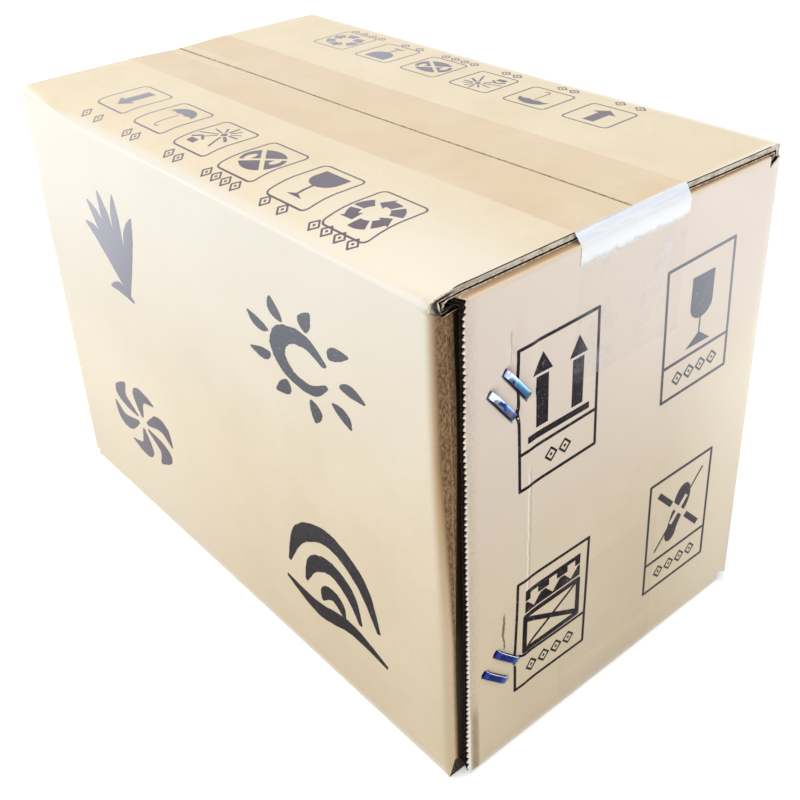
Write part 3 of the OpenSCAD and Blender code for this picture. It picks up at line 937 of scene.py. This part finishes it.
end_ink += placed_at([box_ring(27.5, 2.4)], (arrows_at[0] + 0.3, arrows_at[1] + 3.6))
goblet_at = (end_columns[1] + 1.0, end_row_heights[0] - end_frame_h / 2 + 16.2)
end_ink += placed_at(goblet(11.6, 16.5, 10.2, 4.4, 13.0), goblet_at)

# A load on a braced crate: a dark band with three bare arrows that press down on it.
crate_at = (end_columns[0], end_row_heights[1] - end_frame_h / 2 + end_band_h)
end_ink += placed_at([box_ring(26.8, 9.6)], (crate_at[0] + 0.2, crate_at[1] + 24.5))
for shift in (-9.0, 0.0, 9.0):
    press = [[(-1.9, 3.0), (-1.9, 0.2), (1.9, 0.2), (1.9, 3.0)], [(-3.4, -0.2), (0, -4.0), (3.4, -0.2)],
             [(-4.6, -0.2), (4.6, -0.2), (4.6, 0.35), (-4.6, 0.35)]]
    end_bare += placed_at(press, (crate_at[0] + shift + 0.2, crate_at[1] + 24.5))
crate = line(box_ring(26, 15.5), 2.1, closed=True)
crate += line([(-12.5, -7.2), (12.5, 7.2)], 1.1) + line([(-12.5, 6.2), (12.5, -6.4)], 2.0)
end_ink += placed_at(crate, (crate_at[0], crate_at[1] + 10.2))

# A shoe sole under a cross, with a bare rim where the strokes cross it.
sole_at = (end_columns[1], end_row_heights[1] + 6.0)
sole = [disc((0.6, 4.2), 4.6, 28, 1.5), disc((-1.6, -9.0), 3.2, 24, 1.35), [(-3.8, 0), (3.8, 0), (1.2, -9), (-4.6, -9)]]
end_ink += placed_at(sole, sole_at, -14)
cross = [[(-12.5, -13.5), (12.5, 13.5)], [(-12.4, 12.8), (12.4, -12.8)]]
for stroke, width in zip(cross, (0.9, 2.4)):
    end_ink += placed_at(line([stroke[0], (stroke[0][0] * 0.36, stroke[0][1] * 0.36)], width), sole_at)
    end_ink += placed_at(line([(stroke[1][0] * 0.36, stroke[1][1] * 0.36), stroke[1]], width), sole_at)
    end_bare += placed_at(line([(p[0] * 0.34, p[1] * 0.34) for p in stroke], 2.2), sole_at)
print_on("end_print", end_ink, end_bare, end_place, Vector((-1, 0, 0)), 1.0)

# On each outer flap of the top: a row of six small round-cornered frames, the far row turned about to face the other
# side.
flap_frame_w, flap_frame_h = 21.2, 22.6
flap_frame_far = -39.2
flap_frame_fit = 24.8
flap_line = 0.72
flap_step_x = 30.4


def umbrella():
    """An open umbrella with a scalloped rim and a hooked handle."""
    canopy = arc((0, -0.5), 7.8, 0, 180, 20, 0.85)
    scallops = []
    for k in range(3):
        scallops += arc((-5.2 + 5.2 * k, -0.5), 2.6, 180, 0, 6, 0.45)[:-1]
    hook = arc((1.5, -11.2), 1.5, 180, 340, 8)
    return [canopy + scallops, *line([(0, -0.6), (0, -11.2)] + hook[1:], 0.55)]


def sun_and_roof():
    """A sun with uneven rays over the corner of a roof."""
    rays = []
    for angle, reach, width in ((8, 6.4, 0.9), (34, 6.2, 0.6), (66, 6.0, 0.7), (96, 6.5, 0.9), (132, 5.4, 0.9),
                                (170, 7.0, 0.7), (204, 9.5, 0.7), (232, 7.4, 0.7), (296, 9.8, 0.9), (330, 6.6, 1.3)):
        rays += line(turned([(2.5, 0), (reach * 1.15, 0)], angle, 1.0, (0.6, 3.4)), width)
    roof = line([(-8.6, -5.0), (-5.2, -2.4), (-1.6, -4.6)], 1.1)
    return rays + [disc((0.6, 3.4), 1.4, 12), *roof, *placed_at([box_ring(4.6, 2.8)], (-5.0, -7.0))]


def arrow_ring():
    """Three arrows that chase each other round a triangle."""
    band = arc((0, 0), 9.2, 0, 42, 5) + arc((0, 0), 4.7, 42, 0, 5)
    neck = arc((0, 0), 9.0, 52, 80, 4) + arc((0, 0), 4.9, 80, 52, 4)
    head = [turned([(r, 0)], 80)[0] for r in (10.4, 3.4)] + turned([(7.0, 0)], 108)
    return [turned(shape, 120 * k + 20) for k in range(3) for shape in (band, neck, head)]


def stamped_row(caption_y):
    """The six framed signs of one flap, with their rows of diamonds at this distance from the seam."""
    cross_cut = line([(-7.4, -6), (7.4, 6)], 1.7) + line([(-7.4, 6), (7.4, -6)], 1.7)
    cross_cut += [disc((-5.6, -1.2), 1.6, 12, 1.8), disc((5.4, 1.4), 1.5, 12, 1.7)]
    icons = [
        (placed_at(up_arrow(11.4, 5.0, 5.4, 17.0, 0.0), (0, 8.6), 180), [], 2, 9.4),
        (placed_at(umbrella(), (0, 3.4)), [], 2, 6.2),
        (sun_and_roof(), [], 2, 6.2),
        ([disc((0, 0), 9.3, 40, 0.86)], cross_cut, 4, 5.8),
        (placed_at(goblet(12.4, 10.4, 7.6, 1.5, 7.4, 1.0), (0, -8.6)), [], 2, 9.4),
        (arrow_ring(), [], 4, 6.2)]
    inked, bare = [], []
    for k, (shapes, cut, count, pitch) in enumerate(icons):
        tall = flap_frame_h + 0.6 * k
        shift = ((k - 2.5) * flap_step_x, flap_frame_far - 0.38 * k - tall / 2)
        inked += placed_at(line(box_ring(flap_frame_w, tall, 2.3), flap_line, closed=True), shift)
        inked += [turned(shape, 0, tall / flap_frame_fit, shift) for shape in shapes]
        inked += placed_at(caption(pitch * count, count, 4.5), (shift[0] - 2.2, caption_y))
        bare += [turned(shape, 0, tall / flap_frame_fit, shift) for shape in cut]
    return inked, bare


down = Vector((0, 0, -1))
print_on("near_flap_print", *stamped_row(-68.2), top_place, down, 0.8)
far_squeeze = 0.82
far_shift = (-4.0, 13.0)
far_turn = 181.0
far_ink, far_bare = ([[(u * 0.965, v * far_squeeze) for u, v in shape] for shape in row] for row in stamped_row(-68.5))
print_on("far_flap_print", placed_at(far_ink, far_shift, far_turn), placed_at(far_bare, far_shift, far_turn),
         top_place, down)


# On the near long panel: four big marks laid down with a loaded flat brush, each of a few swept strokes.
brush = random.Random(11)


def swept(points, widths, steps=9):
    """A brush stroke through these points, its width swelling and thinning as given."""
    padded = [points[0], *points, points[-1]]
    swell = [widths[0], *widths, widths[-1]]
    path, wide = [], []
    for k in range(1, len(padded) - 2):
        for s in range(steps + (k == len(padded) - 3)):
            t = s / steps
            weights = (-0.5 * t + t * t - 0.5 * t ** 3, 1 - 2.5 * t * t + 1.5 * t ** 3,
                       0.5 * t + 2 * t * t - 1.5 * t ** 3, -0.5 * t * t + 0.5 * t ** 3)
            path.append(tuple(sum(w * padded[k - 1 + n][axis] for n, w in enumerate(weights)) for axis in (0, 1)))
            wide.append(sum(w * swell[k - 1 + n] for n, w in enumerate(weights)) * brush.uniform(0.94, 1.06))
    return line(path, [max(0.5, w) for w in wide])


def leaf(start, bend, tip, width):
    """A stroke that swells from a fine start and thins out to its tip."""
    return swept([start, bend, tip], [1.5, width, 1.0])


# A fan of leaves, a pinwheel, a sun and a shell.
fan_mark, wheel_mark, sun_mark, shell_mark = [], [], [], []
for tip, bend in (((-22, 3), (-10, -2)), ((-17, 14), (-8, 5)), ((-6, 21), (-2, 9)), ((7, 23), (6, 9)),
                  ((20, 17), (14, 5))):
    fan_mark += leaf((7, -21), bend, tip, 7.2)
fan_mark += leaf((10, -23), (0, -20), (-9, -22), 5)
for k in range(6):
    petal = leaf((3, 1.5), (13, 7.5), (18.5, -0.5), 7.5)
    wheel_mark += [[(u * 1.35, v * 0.95) for u, v in shape] for shape in placed_at(petal, (0, 0), 60 * k)]
ring = swept([(9.5 * math.cos(a), 9.5 * math.sin(a)) for a in (0.5 + 0.9 * k for k in range(7))],
             [2.5, 5.5, 6.5, 6, 5, 4, 1.5])
for k in range(9):
    ring += placed_at(leaf((14, 0), (17.5, 0.8), (22, -0.6), 4.6), (0, 0), 40 * k)
sun_mark += [[(u * 1.45, v * 0.95) for u, v in shape] for shape in ring]
for radius, width in ((27, 7.0), (16.5, 6.5), (6.5, 5.5)):
    bow = [(radius * math.cos(math.radians(a)), -15 + radius * 1.25 * math.sin(math.radians(a)))
           for a in (14, 50, 90, 130, 166)]
    shell_mark += swept(bow, [2, width, width, width, 1.5])
shell_mark += swept([(-29, -16), (-10, -20), (10, -16), (30, -20)], [1.5, 6.5, 6, 1.5])
long_ink = []
for mark, shift in ((fan_mark, (-66.5, 135.5)), (wheel_mark, (-69.5, 47.5)),
                    (sun_mark, (60.5, 136.5)), (shell_mark, (65.5, 47.5))):
    long_ink += placed_at(mark, shift)
print_on("long_panel_print", long_ink, [], long_place, Vector((0, 1, 0)))


# Two strips of clear glossy tape, one along each seam, with a tail down or up each end panel. Each bridges from the
# outer flaps' cut ends to the end panel, where it stands off the board and shows milky, with a painted white glare.
tape_half = 25 * MM
tape_t = 0.05 * MM
tape_lift = 0.009 * MM
top_tail = 50 * MM
bottom_tail = 60 * MM
landings = {1: 3.8 * MM, -1: 3.0 * MM}      # how far past the corner the strip meets the end panel, above and below
tape_step = 3.0 * MM
tape_columns = 20
bridge_steps = 5
tape_wrinkle = 0.05 * MM    # how far the film stands off in fine wrinkles
tape_pucker = 0.15 * MM     # and in coarser ones along the first stretch of each tail
pucker_reach = 10 * MM


def tape_path(tail, landing):
    """Half of the strip's line, from the middle of the top down to its end: points, outward normals, and how far
    along the bridge from the flap to the end panel each is."""
    run = [(x, half_h, 0.0, 1.0, 0.0) for x in spread([0.0, outer_flap_end], tape_step)]
    lean = math.atan2(half_l - outer_flap_end, landing)
    shares = [step / bridge_steps for step in range(1, bridge_steps)]
    slant = [(half_l, half_h - landing, math.cos(lean), math.sin(lean), share) for share in shares]
    down_end = reversed(spread([half_h - tail, half_h - landing], tape_step))
    return run + slant + [(half_l, z, 1.0, 0.0, 0.0) for z in down_end]


def tape_strip(name, side, tail):
    """One strip laid on the settled board, over its top for side 1 and under its bottom for side -1."""
    strip = bmesh.new()
    half = tape_path(tail, landings[side])
    path = [(-x, z, -nx, nz, share) for x, z, nx, nz, share in reversed(half[1:])] + half
    grid = []
    for x, z, nx, nz, share in path:
        under, over = [], []
        for k in range(tape_columns + 1):
            y = tape_half * (2 * k / tape_columns - 1)
            wrinkle = tape_wrinkle * cloud(x, y, z, 5 * MM, 20.0) * (1 if nx else 0.3)
            if abs(nx) > 0.5 and half_h - z < pucker_reach:
                wrinkle += tape_pucker * cloud(0, y, z, 4 * MM, 21.0)
            if x < 0 or side < 0:
                wrinkle *= 0 if nz else 0.2
            base = settle(Vector((x, y, mid_z + side * z)))
            if share:
                brink = settle(Vector((math.copysign(outer_flap_end, x), y, mid_z + side * half_h)))
                base = brink.lerp(base, share)
            for lift, layer in ((tape_lift, under), (tape_lift + tape_t, over)):
                laid = base + Vector((nx, 0, side * nz)) * (lift + wrinkle)
                layer.append(strip.verts.new((laid.x, laid.y, max(laid.z, 0.0))))
        grid.append((under, over))
    for (under_a, over_a), (under_b, over_b) in zip(grid, grid[1:]):
        for k in range(tape_columns):
            strip.faces.new([over_a[k], over_b[k], over_b[k + 1], over_a[k + 1]])
            strip.faces.new([under_a[k], under_a[k + 1], under_b[k + 1], under_b[k]])
        for k in (0, tape_columns):
            strip.faces.new([under_a[k], under_b[k], over_b[k], over_a[k]])
    for under, over in (grid[0], grid[-1]):
        for k in range(tape_columns):
            strip.faces.new([under[k], over[k], over[k + 1], under[k + 1]])
    bmesh.ops.recalc_face_normals(strip, faces=strip.faces)
    for f in strip.faces:
        f.smooth = True
    for e in strip.edges:
        e.smooth = e.calc_face_angle(0.0) < sharp_angle
    piece = new_piece(name + "_film", strip, clear_film)
    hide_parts(name)


film_tint = (0.74, 0.44, 0.20, 1)
film_haze = (0.80, 0.78, 0.76, 1)
film_milk_glare = (0.96, 0.96, 0.97, 1)
film_highlight_blue = (0.70, 0.82, 1.0, 1)
clear_film, skin, spot = new_material("clear_tape_film")
at_x, _, at_z = axes(spot)
beyond_flap = fade(maths("ABSOLUTE", at_x), outer_flap_end - 0.5 * MM, outer_flap_end + 0.5 * MM)
height_off = apart(at_z, mid_z)
on_top_end = product(beyond_flap, above(at_z, mid_z))
ragged_foot = product(grain(stretch(spot, (1.0, 1.0, 0.35)), 110, 2.5, 0.5), 5 * MM)
# Where the film stands off the end panel it is milky and painted white as glare, with a painted bluish highlight in
# streaks near the top.
milky_and_glare = fade(total(height_off, ragged_foot), half_h - 9.0 * MM, half_h - 5.8 * MM)
hazy = product(fade(grain(spot, 45, 4.0, 0.7), 0.50, 0.75), 0.24)
milk_and_glare = product(larger(milky_and_glare, hazy), on_top_end)
streaky = fade(grain(stretch(spot, (1.0, 0.08, 1.0)), 1100, 2.0, 0.6), 0.36, 0.6)
blue_highlight = product(fade(height_off, half_h - 4.0 * MM, half_h - 2.6 * MM), streaky, 0.5)
join(blend(fade(milk_and_glare, 0.0, 0.2), blend(beyond_flap, film_tint, film_haze), blend(blue_highlight, film_milk_glare, film_highlight_blue)),
     skin.inputs["Base Color"])
patchy = fade(grain(spot, 30, 3.0, 0.6), 0.3, 0.7)
thin = product(total(0.05, product(patchy, 0.045)), less(1.0, product(beyond_flap, 0.6)))
join(larger(thin, product(milk_and_glare, 0.93)), skin.inputs["Alpha"])
ripples = grain(stretch(spot, (0.25, 1.0, 0.25)), 120, 3.0, 0.6)
emboss(skin, ripples, 0.35, 0.3 * MM)
join(ramp(ripples, 0.14, 0.30), skin.inputs["Roughness"])
join(ramp(beyond_flap, 0.8, 0.3), skin.inputs["Specular IOR Level"])

tape_strip("top_tape", 1, top_tail)
tape_strip("bottom_tape", -1, bottom_tail)


# Four stitches of bright flat steel wire in two slanting pairs. Each is driven through the end panel and the tab, and
# its two legs are clinched towards each other inside.
wire_w = 2.3 * MM
wire_t = 0.6 * MM
wire_round = 0.26 * MM      # radius of the wire's worn edges
wire_round_steps = 3
clinch = 5.5 * MM
clinch_gap = 0.3 * MM       # from the tab's inner face to the clinched legs
bend_r = 0.4 * MM
end_sink = 0.75 * MM        # how far the ends of the crown are drawn into the board
wire_steps = 5

steel_pale = (0.78, 0.84, 0.92, 1)
steel_sky = (0.22, 0.50, 0.92, 1)
steel_blue = (0.05, 0.07, 0.50, 1)
steel_rose = (0.95, 0.42, 0.68, 1)
steel_highlight = (0.90, 0.93, 1.0, 1)
steel_deep = (0.16, 0.34, 0.95, 1)
steel_navy_shade = (0.012, 0.03, 0.30, 1)
steel_edge_shade = (0.06, 0.06, 0.07, 1)
steel, skin, spot = new_material("stitching_wire")
draw_lines = grain(stretch(spot, (1.0, 0.15, 0.15)), 3500, 2.0, 0.6)
# The wire is coloured in patches of pale, sky blue, deep blue and rose.
colour = blend(fade(grain(spot, 150, 1.0), 0.42, 0.56), steel_pale, steel_sky)
tint_spot = add(skin, "ShaderNodeMapping", {"Vector": spot, "Location": (0.0, 0.03, 0.0)}).outputs["Vector"]
colour = blend(fade(grain(tint_spot, 230, 1.0), 0.60, 0.70), colour, steel_blue)
colour = blend(fade(grain(tint_spot, 260, 1.0), 0.38, 0.30), colour, steel_rose)
_, at_y, at_z = axes(spot)
# The lower stitches are coloured a deeper blue, painted darker as shade towards their ends nearer the lapped edge.
low_down = fade(at_z, 100 * MM, 80 * MM)
lap_end_shade = fade(less(at_y, at_z), -92 * MM, -84 * MM)
colour = blend(low_down, colour, blend(lap_end_shade, steel_navy_shade, steel_deep))
join(colour, skin.inputs["Base Color"])
join(ramp(low_down, 1.0, 0.5), skin.inputs["Metallic"])
join(ramp(draw_lines, 0.12, 0.30), skin.inputs["Roughness"])
emboss(skin, draw_lines, 0.25, 0.03 * MM)

# The wire's narrow edges, painted dark as shade, with the lower stitches' upper edges painted with a highlight.
wire_edge, skin, spot = new_material("stitching_wire_edge")
facing_up = axes(add(skin, "ShaderNodeNewGeometry").outputs["Normal"])["Z"]
upper_edge_highlight = product(fade(axes(spot)["Z"], 100 * MM, 80 * MM), fade(facing_up, 0.1, 0.5))
join(blend(upper_edge_highlight, blend(grain(spot, 900, 2.0), steel_edge_shade, steel_blue), steel_highlight), skin.inputs["Base Color"])
skin.inputs["Roughness"].default_value = 0.45
skin.inputs["Metallic"].default_value = 0.6


def wire_line(crown_half):
    """Middle line of a bent stitch with its crown along u and its legs along -v: points and normals."""
    inner = -2 * board_t - clinch_gap
    half = []
    for s in range(wire_steps + 1):
        u = (crown_half - wire_t / 2 - bend_r) * s / wire_steps
        half.append((u, wire_t / 2 - end_sink * (u / crown_half) ** 4, 0.0, 1.0))
    for height, start in ((wire_t / 2 - end_sink - bend_r, 90), (inner - wire_t / 2 + bend_r, 0)):
        for s in range(wire_steps + 1):
            a = math.radians(start - 90 * s / wire_steps)
            half.append((crown_half - wire_t / 2 - bend_r + bend_r * math.cos(a), height + bend_r * math.sin(a),
                         math.cos(a), math.sin(a)))
    half.append((crown_half - clinch, inner - wire_t / 2, 0.0, -1.0))
    return [(-u, v, -nu, nv) for u, v, nu, nv in reversed(half[1:])] + half


wire_section = []
for quarter, (su, sv) in enumerate(((1, 1), (-1, 1), (-1, -1), (1, -1))):
    for k in range(wire_round_steps + 1):
        a = math.radians(90 * quarter + 90 * k / wire_round_steps)
        wire_section.append((su * (wire_w / 2 - wire_round) + wire_round * math.cos(a),
                             sv * (wire_t / 2 - wire_round) + wire_round * math.sin(a)))

for name, centre in stitch_spots.items():
    crown_half, aside = stitch_crowns[name]
    place = Matrix.Translation((half_l, centre.y + aside, centre.z - aside)) @ Matrix.Rotation(
        -math.radians(stitch_slopes[name]), 4, "X") @ Matrix.Rotation(-math.pi / 2, 4, "Z")
    wire = bmesh.new()
    rings = []
    for u, v, nu, nv in wire_line(crown_half):
        rings.append([wire.verts.new(place @ Vector((u + nu * t, v + nv * t, w))) for w, t in wire_section])
    for a, b in zip(rings, rings[1:]):
        for k in range(len(a)):
            wire.faces.new([a[k - 1], a[k], b[k], b[k - 1]])
    wire.faces.new(rings[0])
    wire.faces.new(rings[-1])
    bmesh.ops.recalc_face_normals(wire, faces=wire.faces)
    across = place.to_3x3() @ Vector((0, 0, 1))
    for f in wire.faces:
        f.smooth = len(f.verts) == 4
        f.material_index = int(abs(f.normal.dot(across)) > 0.6)
    piece = new_piece(name + "_wire", wire, steel, wire_edge)
    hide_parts(name)


# A plain white studio floor, with a large soft light above, softer ones to each side, and the camera at the
# photograph's angle.
floor_half = 3.0
floor_glow = 0.39           # added for the camera only, so that the floor shows white
floor_sheen = 4.0           # how bright glossy faces see the floor, but for the strip that the box stands on
air_strength = 0.55
air_glow = 0.45             # added for the camera only, so that the background shows white
air_sheen = 0.80            # added for glossy faces
sheen_white = (1, 1, 1, 1)
sheen_blue = (0.80, 0.90, 1.0, 1)
floor_white = (0.92, 0.92, 0.92, 1)
floor_dim = (0.25, 0.24, 0.23, 1)
floor_paint, skin, spot = new_material("studio_floor")
skin.inputs["Roughness"].default_value = 0.9
rays = add(skin, "ShaderNodeLightPath").outputs
# To glossy faces the floor shows dim, and glows bluish away from the strip that the box stands on: a painted
# reflection, with no lamp there.
join(blend(rays["Is Glossy Ray"], floor_white, floor_dim), skin.inputs["Base Color"])
sheen = product(fade(maths("ABSOLUTE", axes(spot)["Y"]), 110 * MM, 270 * MM), floor_sheen)
join(blend(rays["Is Glossy Ray"], sheen_white, sheen_blue), skin.inputs["Emission Color"])
join(total(product(rays["Is Camera Ray"], floor_glow), product(rays["Is Glossy Ray"], sheen)),
     skin.inputs["Emission Strength"])
floor_mesh = bpy.data.meshes.new("studio_floor")
floor_mesh.from_pydata([(u * floor_half, v * floor_half, 0) for u, v in ((-1, -1), (1, -1), (1, 1), (-1, 1))], [],
                       [(0, 1, 2, 3)])
floor_mesh.materials.append(floor_paint)
floor = bpy.data.objects.new("studio_floor", floor_mesh)
bpy.context.scene.collection.objects.link(floor)

world = bpy.data.worlds.new("studio_air")
bpy.context.scene.world = world
world.use_nodes = True
backdrop = world.node_tree.nodes["Background"]
rays = add(backdrop, "ShaderNodeLightPath").outputs
extra = total(product(rays["Is Camera Ray"], air_glow), product(rays["Is Glossy Ray"], air_sheen))
join(total(extra, air_strength), backdrop.inputs["Strength"])
join(blend(rays["Is Glossy Ray"], sheen_white, sheen_blue), backdrop.inputs["Color"])

lamp_aim = Vector((0, 0, 90 * MM))
for name, spot, size, power in (("overhead", (-0.25, -0.35, 1.3), 1.2, 10.4),
                                ("front_left", (-1.0, -0.65, 0.3), 0.8, 4.5),
                                ("right", (1.4, 0.5, 0.8), 1.0, 5.5)):
    lamp = bpy.data.lights.new(name, "AREA")
    lamp.size = size
    lamp.energy = power
    lamp_object = bpy.data.objects.new(name, lamp)
    lamp_object.location = spot
    lamp_object.rotation_mode = "QUATERNION"
    lamp_object.rotation_quaternion = (lamp_aim - Vector(spot)).to_track_quat("-Z", "Y")
    bpy.context.scene.collection.objects.link(lamp_object)

camera_at = Vector((0.315423, -0.241965, 0.323649))
camera_right = Vector((0.644040, 0.763609, -0.045977))
camera_up = Vector((-0.352219, 0.349346, 0.868274))
camera_back = Vector((0.679084, -0.543009, 0.493950))
camera_data = bpy.data.cameras.new("camera")
camera_data.lens = 50.27
camera_data.sensor_width = 36.0
camera_data.shift_x = 0.01331
camera_data.shift_y = -0.1024
camera_data.clip_start = 0.01
camera = bpy.data.objects.new("camera", camera_data)
camera_turn = Matrix((camera_right, camera_up, camera_back)).transposed().to_4x4()
camera.matrix_world = Matrix.Translation(camera_at) @ camera_turn
bpy.context.scene.collection.objects.link(camera)
bpy.context.scene.camera = camera
bpy.context.scene.view_settings.view_transform = "Standard"
